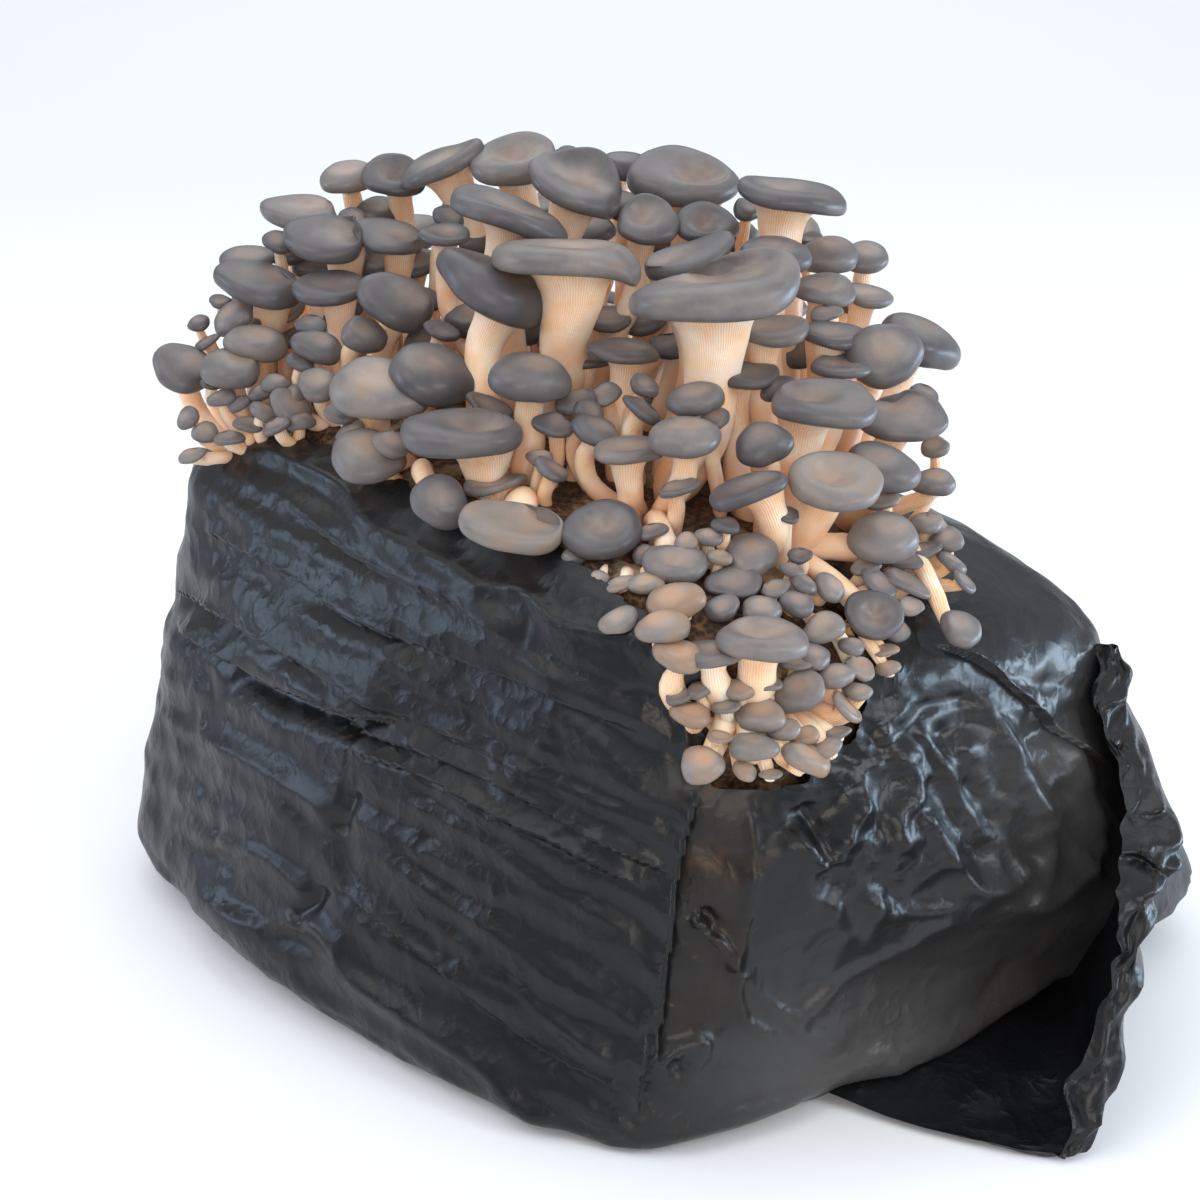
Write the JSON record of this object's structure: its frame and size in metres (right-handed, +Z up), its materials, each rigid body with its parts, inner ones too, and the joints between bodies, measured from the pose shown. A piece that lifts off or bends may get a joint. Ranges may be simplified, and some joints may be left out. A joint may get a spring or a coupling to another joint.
{
  "type": "oyster mushroom grow bag",
  "caption": "Black film bag on its side round a sawdust block, with a flush of grey oyster mushrooms growing through a long opening in its top.",
  "frame": {"origin": "middle of the flat patch that the bag rests on, on the surface it lies on", "axes": "+Z up; -X is the folded end of the bag, +X its far end; -Y is the glossy side, where the bag's open end is pulled round"},
  "size_m": [0.3068, 0.4081, 0.2769],
  "materials": {
    "film": "black polyethylene film, semi-gloss, crumpled",
    "sawdust": "rough sawdust bound by pale mycelium",
    "mushroom": "satin grey-brown caps on pale cream-orange gilled stems"
  },
  "bodies": {
    "root": {"bag": "film", "bunch_centre": "mushroom", "bunch_corner": "mushroom", "bunch_front": "mushroom", "bunch_front_left": "mushroom", "bunch_left": "mushroom", "bunch_mid_left": "mushroom", "bunch_middle": "mushroom", "bunch_rear": "mushroom", "bunch_rear_left": "mushroom", "bunch_rear_right": "mushroom", "bunch_right": "mushroom", "mushroom_corner_1": "mushroom", "mushroom_front_1": "mushroom", "mushroom_front_2": "mushroom", "mushroom_front_3": "mushroom", "mushroom_front_4": "mushroom", "mushroom_front_5": "mushroom", "mushroom_front_6": "mushroom", "mushroom_front_7": "mushroom", "mushroom_left_1": "mushroom", "mushroom_left_2": "mushroom", "mushroom_left_3": "mushroom", "mushroom_left_4": "mushroom", "mushroom_left_5": "mushroom", "mushroom_left_6": "mushroom", "mushroom_left_7": "mushroom", "mushroom_left_8": "mushroom", "mushroom_left_9": "mushroom", "mushroom_rear_1": "mushroom", "mushroom_rear_10": "mushroom", "mushroom_rear_2": "mushroom", "mushroom_rear_3": "mushroom", "mushroom_rear_4": "mushroom", "mushroom_rear_5": "mushroom", "mushroom_rear_6": "mushroom", "mushroom_rear_7": "mushroom", "mushroom_rear_8": "mushroom", "mushroom_rear_9": "mushroom", "mushroom_right_1": "mushroom", "mushroom_right_2": "mushroom", "mushroom_right_3": "mushroom", "mushroom_right_4": "mushroom", "mushroom_right_5": "mushroom", "mushroom_right_6": "mushroom", "mushroom_right_7": "mushroom", "mushroom_right_8": "mushroom", "mushroom_right_9": "mushroom", "mushroom_top_1": "mushroom", "mushroom_top_10": "mushroom", "mushroom_top_2": "mushroom", "mushroom_top_3": "mushroom", "mushroom_top_4": "mushroom", "mushroom_top_5": "mushroom", "mushroom_top_6": "mushroom", "mushroom_top_7": "mushroom", "mushroom_top_8": "mushroom", "mushroom_top_9": "mushroom", "substrate_block": "sawdust"}
  },
  "joints": []
}
